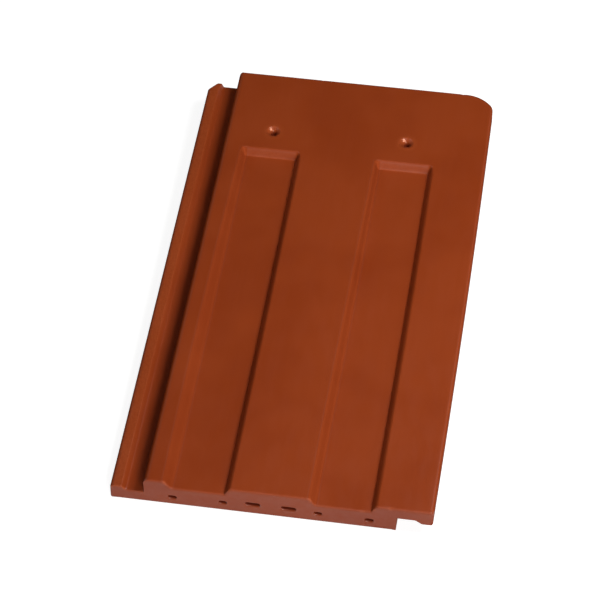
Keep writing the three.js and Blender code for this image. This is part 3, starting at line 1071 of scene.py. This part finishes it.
products = (("worn_and_painted_light", "rubbed_and_painted_light", "patchy"), ("pool", "above_film", "below_hole"))
for name, first, second in products:
    values[name] = add_node(
        tree, "Math", {0: values[first], 1: values[second]}, operation="MULTIPLY"
    )
print("values for the shader:", len(values))

# %% [markdown]
# ## Engobed clay: colour
#
# The colour is built up one layer over the other: the red-brown film with its clouds, streaks and
# grains, then the paler film where it is rubbed and where it is painted light, then the bare clay
# where the spray doesn't reach, and last a darker clay inside the cores and nail holes: painted
# shade in the holes, and partly in the cores.

# %% Colour
engobe_colour, engobe_light, engobe_dark = linear("#8a3713"), linear("#8e3a16"), linear("#863411")
thin_engobe_and_painted_light, bare_clay, bare_clay_pale = linear("#a85028"), linear("#a65839"), linear("#ae6143")
# The darker clay of the cores and nail holes, used there as painted shade, in the cores partly.
core_clay_and_painted_shade = linear("#702713")
plain_shine, pool_shine = linear("#ffffff"), linear("#ffc0a0")
FACTOR, FIRST, SECOND, MIXED = 0, 6, 7, 2  # a Mix node's sockets, when it mixes colours

bare = add_node(
    tree,
    "Mix",
    {FACTOR: values["pale_clay"], FIRST: bare_clay, SECOND: bare_clay_pale},
    MIXED,
    data_type="RGBA",
)
colour = engobe_dark
for share, layer in (
    ("cloudy", engobe_light),
    ("streaky", engobe_colour),
    ("grainy", engobe_light),
    # the paler film: rubbed at edges and nicks, painted light on the rib, channel ends and dimples
    ("worn_and_painted_light", thin_engobe_and_painted_light),
    ("bare", bare),
    ("inside", core_clay_and_painted_shade),
):
    layers = {FACTOR: values[share], FIRST: colour, SECOND: layer}
    colour = add_node(tree, "Mix", layers, MIXED, data_type="RGBA")
layers = {FACTOR: values["pool"], FIRST: plain_shine, SECOND: pool_shine}
tint = add_node(tree, "Mix", layers, MIXED, data_type="RGBA")
print("engobe, linear:", [round(c, 3) for c in engobe_colour[:3]])

# %% [markdown]
# ## Engobed clay: gloss and relief
#
# The engobe melts just enough to close its pores, so it is satin, not glossy like a glaze: an IOR
# of 1.5 as for any fired silicate, no metal, and a roughness of 0.33 to 0.41. Where the film is
# thin it stays dry and dull, up to 0.45 rougher, and bare clay hardly shines at all. Where it pools
# it is glassier, and its shine is a little warm.
#
# A very low bump carries the grains and the streaks. It is a few hundredths of a millimetre high,
# much too small for the mesh.

# %% Gloss and relief
fired_silicate_ior = 1.5
dry_from, dry_to, dry_roughness = 1.0, 0.85, 0.45  # engobe's number, and the roughness it adds
pool_smoother, pool_brighter = 0.09, 0.6
bump_strength, bump_height = 0.22, 0.00006

dry_range = {"From Min": dry_from, "From Max": dry_to, "To Min": 0.0, "To Max": dry_roughness}
dry = add_node(tree, "MapRange", {"Value": values["engobe"], **dry_range})
rough = add_node(tree, "Math", {0: values["satin"], 1: dry}, operation="ADD")
rough = add_node(
    tree, "Math", {0: values["pool"], 1: -pool_smoother, 2: rough}, operation="MULTIPLY_ADD"
)
shine = add_node(
    tree,
    "Math",
    {0: values["pool"], 1: pool_brighter, 2: values["film_shine"]},
    operation="MULTIPLY_ADD",
)
relief = 0.0
for name, weight in (("fine_grain", 0.25), ("grain", 0.55), ("die_streaks", 0.5)):
    relief = add_node(
        tree, "Math", {0: values[name], 1: weight, 2: relief}, operation="MULTIPLY_ADD"
    )
bump = add_node(
    tree,
    "Bump",
    {"Strength": bump_strength, "Distance": bump_height, "Height": relief},
    output="Normal",
)

shader = tree.nodes["Principled BSDF"]
shader.inputs["IOR"].default_value = fired_silicate_ior
shader.inputs["Metallic"].default_value = 0.0
for name, socket in (
    ("Base Color", colour),
    ("Roughness", rough),
    ("Specular IOR Level", shine),
    ("Specular Tint", tint),
    ("Normal", bump),
):
    tree.links.new(socket, shader.inputs[name])
mesh.materials.append(clay)

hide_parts("roof_tile")
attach(tile, next(iter(frame["bodies"])))
print("material nodes:", len(tree.nodes))

# %% [markdown]
# ## The floor
#
# The tile lies on white paper. If the paper were lit until it is pure white, it would throw too much
# light back at the tile. So its own colour is a middle grey, and a glow is added that only the
# camera and reflections see. The tile's shadow still shows on it.

# %% Floor
floor_size = 12  # m
paper_colour, paper_glow = linear("#a0a0a0"), 0.88
bpy.ops.mesh.primitive_plane_add(size=floor_size, location=(0, 0, 0))
floor = bpy.context.object
floor.name = "floor"
paper = bpy.data.materials.new("white_paper_matt")
paper.use_nodes = True
paper_tree = paper.node_tree
seen = add_node(paper_tree, "LightPath", output="Is Camera Ray")
for ray in ("Is Glossy Ray", "Is Transmission Ray"):
    reflected = add_node(paper_tree, "LightPath", output=ray)
    seen = add_node(paper_tree, "Math", {0: seen, 1: reflected}, operation="MAXIMUM")
glow = add_node(paper_tree, "Math", {0: seen, 1: paper_glow}, operation="MULTIPLY")
paper_inputs = paper_tree.nodes["Principled BSDF"].inputs
paper_inputs["Base Color"].default_value = paper_colour
paper_inputs["Roughness"].default_value = 1.0
paper_inputs["Specular IOR Level"].default_value = 0.0
paper_inputs["Emission Color"].default_value = linear("#ffffff")
paper_tree.links.new(glow, paper_inputs["Emission Strength"])
floor.data.materials.append(paper)
print("paper reflects", round(paper_colour[0], 2), "of the light and glows with", paper_glow)

# %% [markdown]
# ## Light
#
# Three square soft boxes look at the tile. The main one is small and close, high on the right: it
# brightens the ramps, and it leaves the steep walls and the groove beside the ledge in shade. A
# wide one stands low in front and lights the foot's face and the heads of the channels. A dim one
# on the left keeps the shades open, and a faint even world fills the rest. The strengths add up so
# that a level surface shows its colour about as it is written.

# %% Light
world_strength = 0.02
soft_boxes = (  # name, azimuth and elevation in degrees, size in m, power in W, distance in m
    ("front_soft_box", 21, 20, 1.5, 79, 3.4),
    ("right_soft_box", 80, 58.5, 0.37, 7.35, 1.0),
    ("left_fill", -90, 52, 1.0, 8.4, 2.4),
)
world = bpy.data.worlds.new("studio")
bpy.context.scene.world = world
world.use_nodes = True
world.node_tree.nodes["Background"].inputs["Color"].default_value = linear("#ffffff")
world.node_tree.nodes["Background"].inputs["Strength"].default_value = world_strength

for name, azimuth, elevation, size, power, distance in soft_boxes:
    back = from_tile(azimuth, elevation)
    lamp = bpy.data.lights.new(name, "AREA")
    lamp.shape, lamp.size, lamp.energy = "SQUARE", size, power
    box = bpy.data.objects.new(name, lamp)
    box.location = back * distance
    box.rotation_mode = "QUATERNION"
    box.rotation_quaternion = (-back).to_track_quat("-Z", "Y")
    bpy.context.scene.collection.objects.link(box)
    print(name, "at", [round(v, 2) for v in box.location], "m")

# %% [markdown]
# ## The end

# The visual model must stay inside the CAD part's box.

# %% Finish
print("scene built")
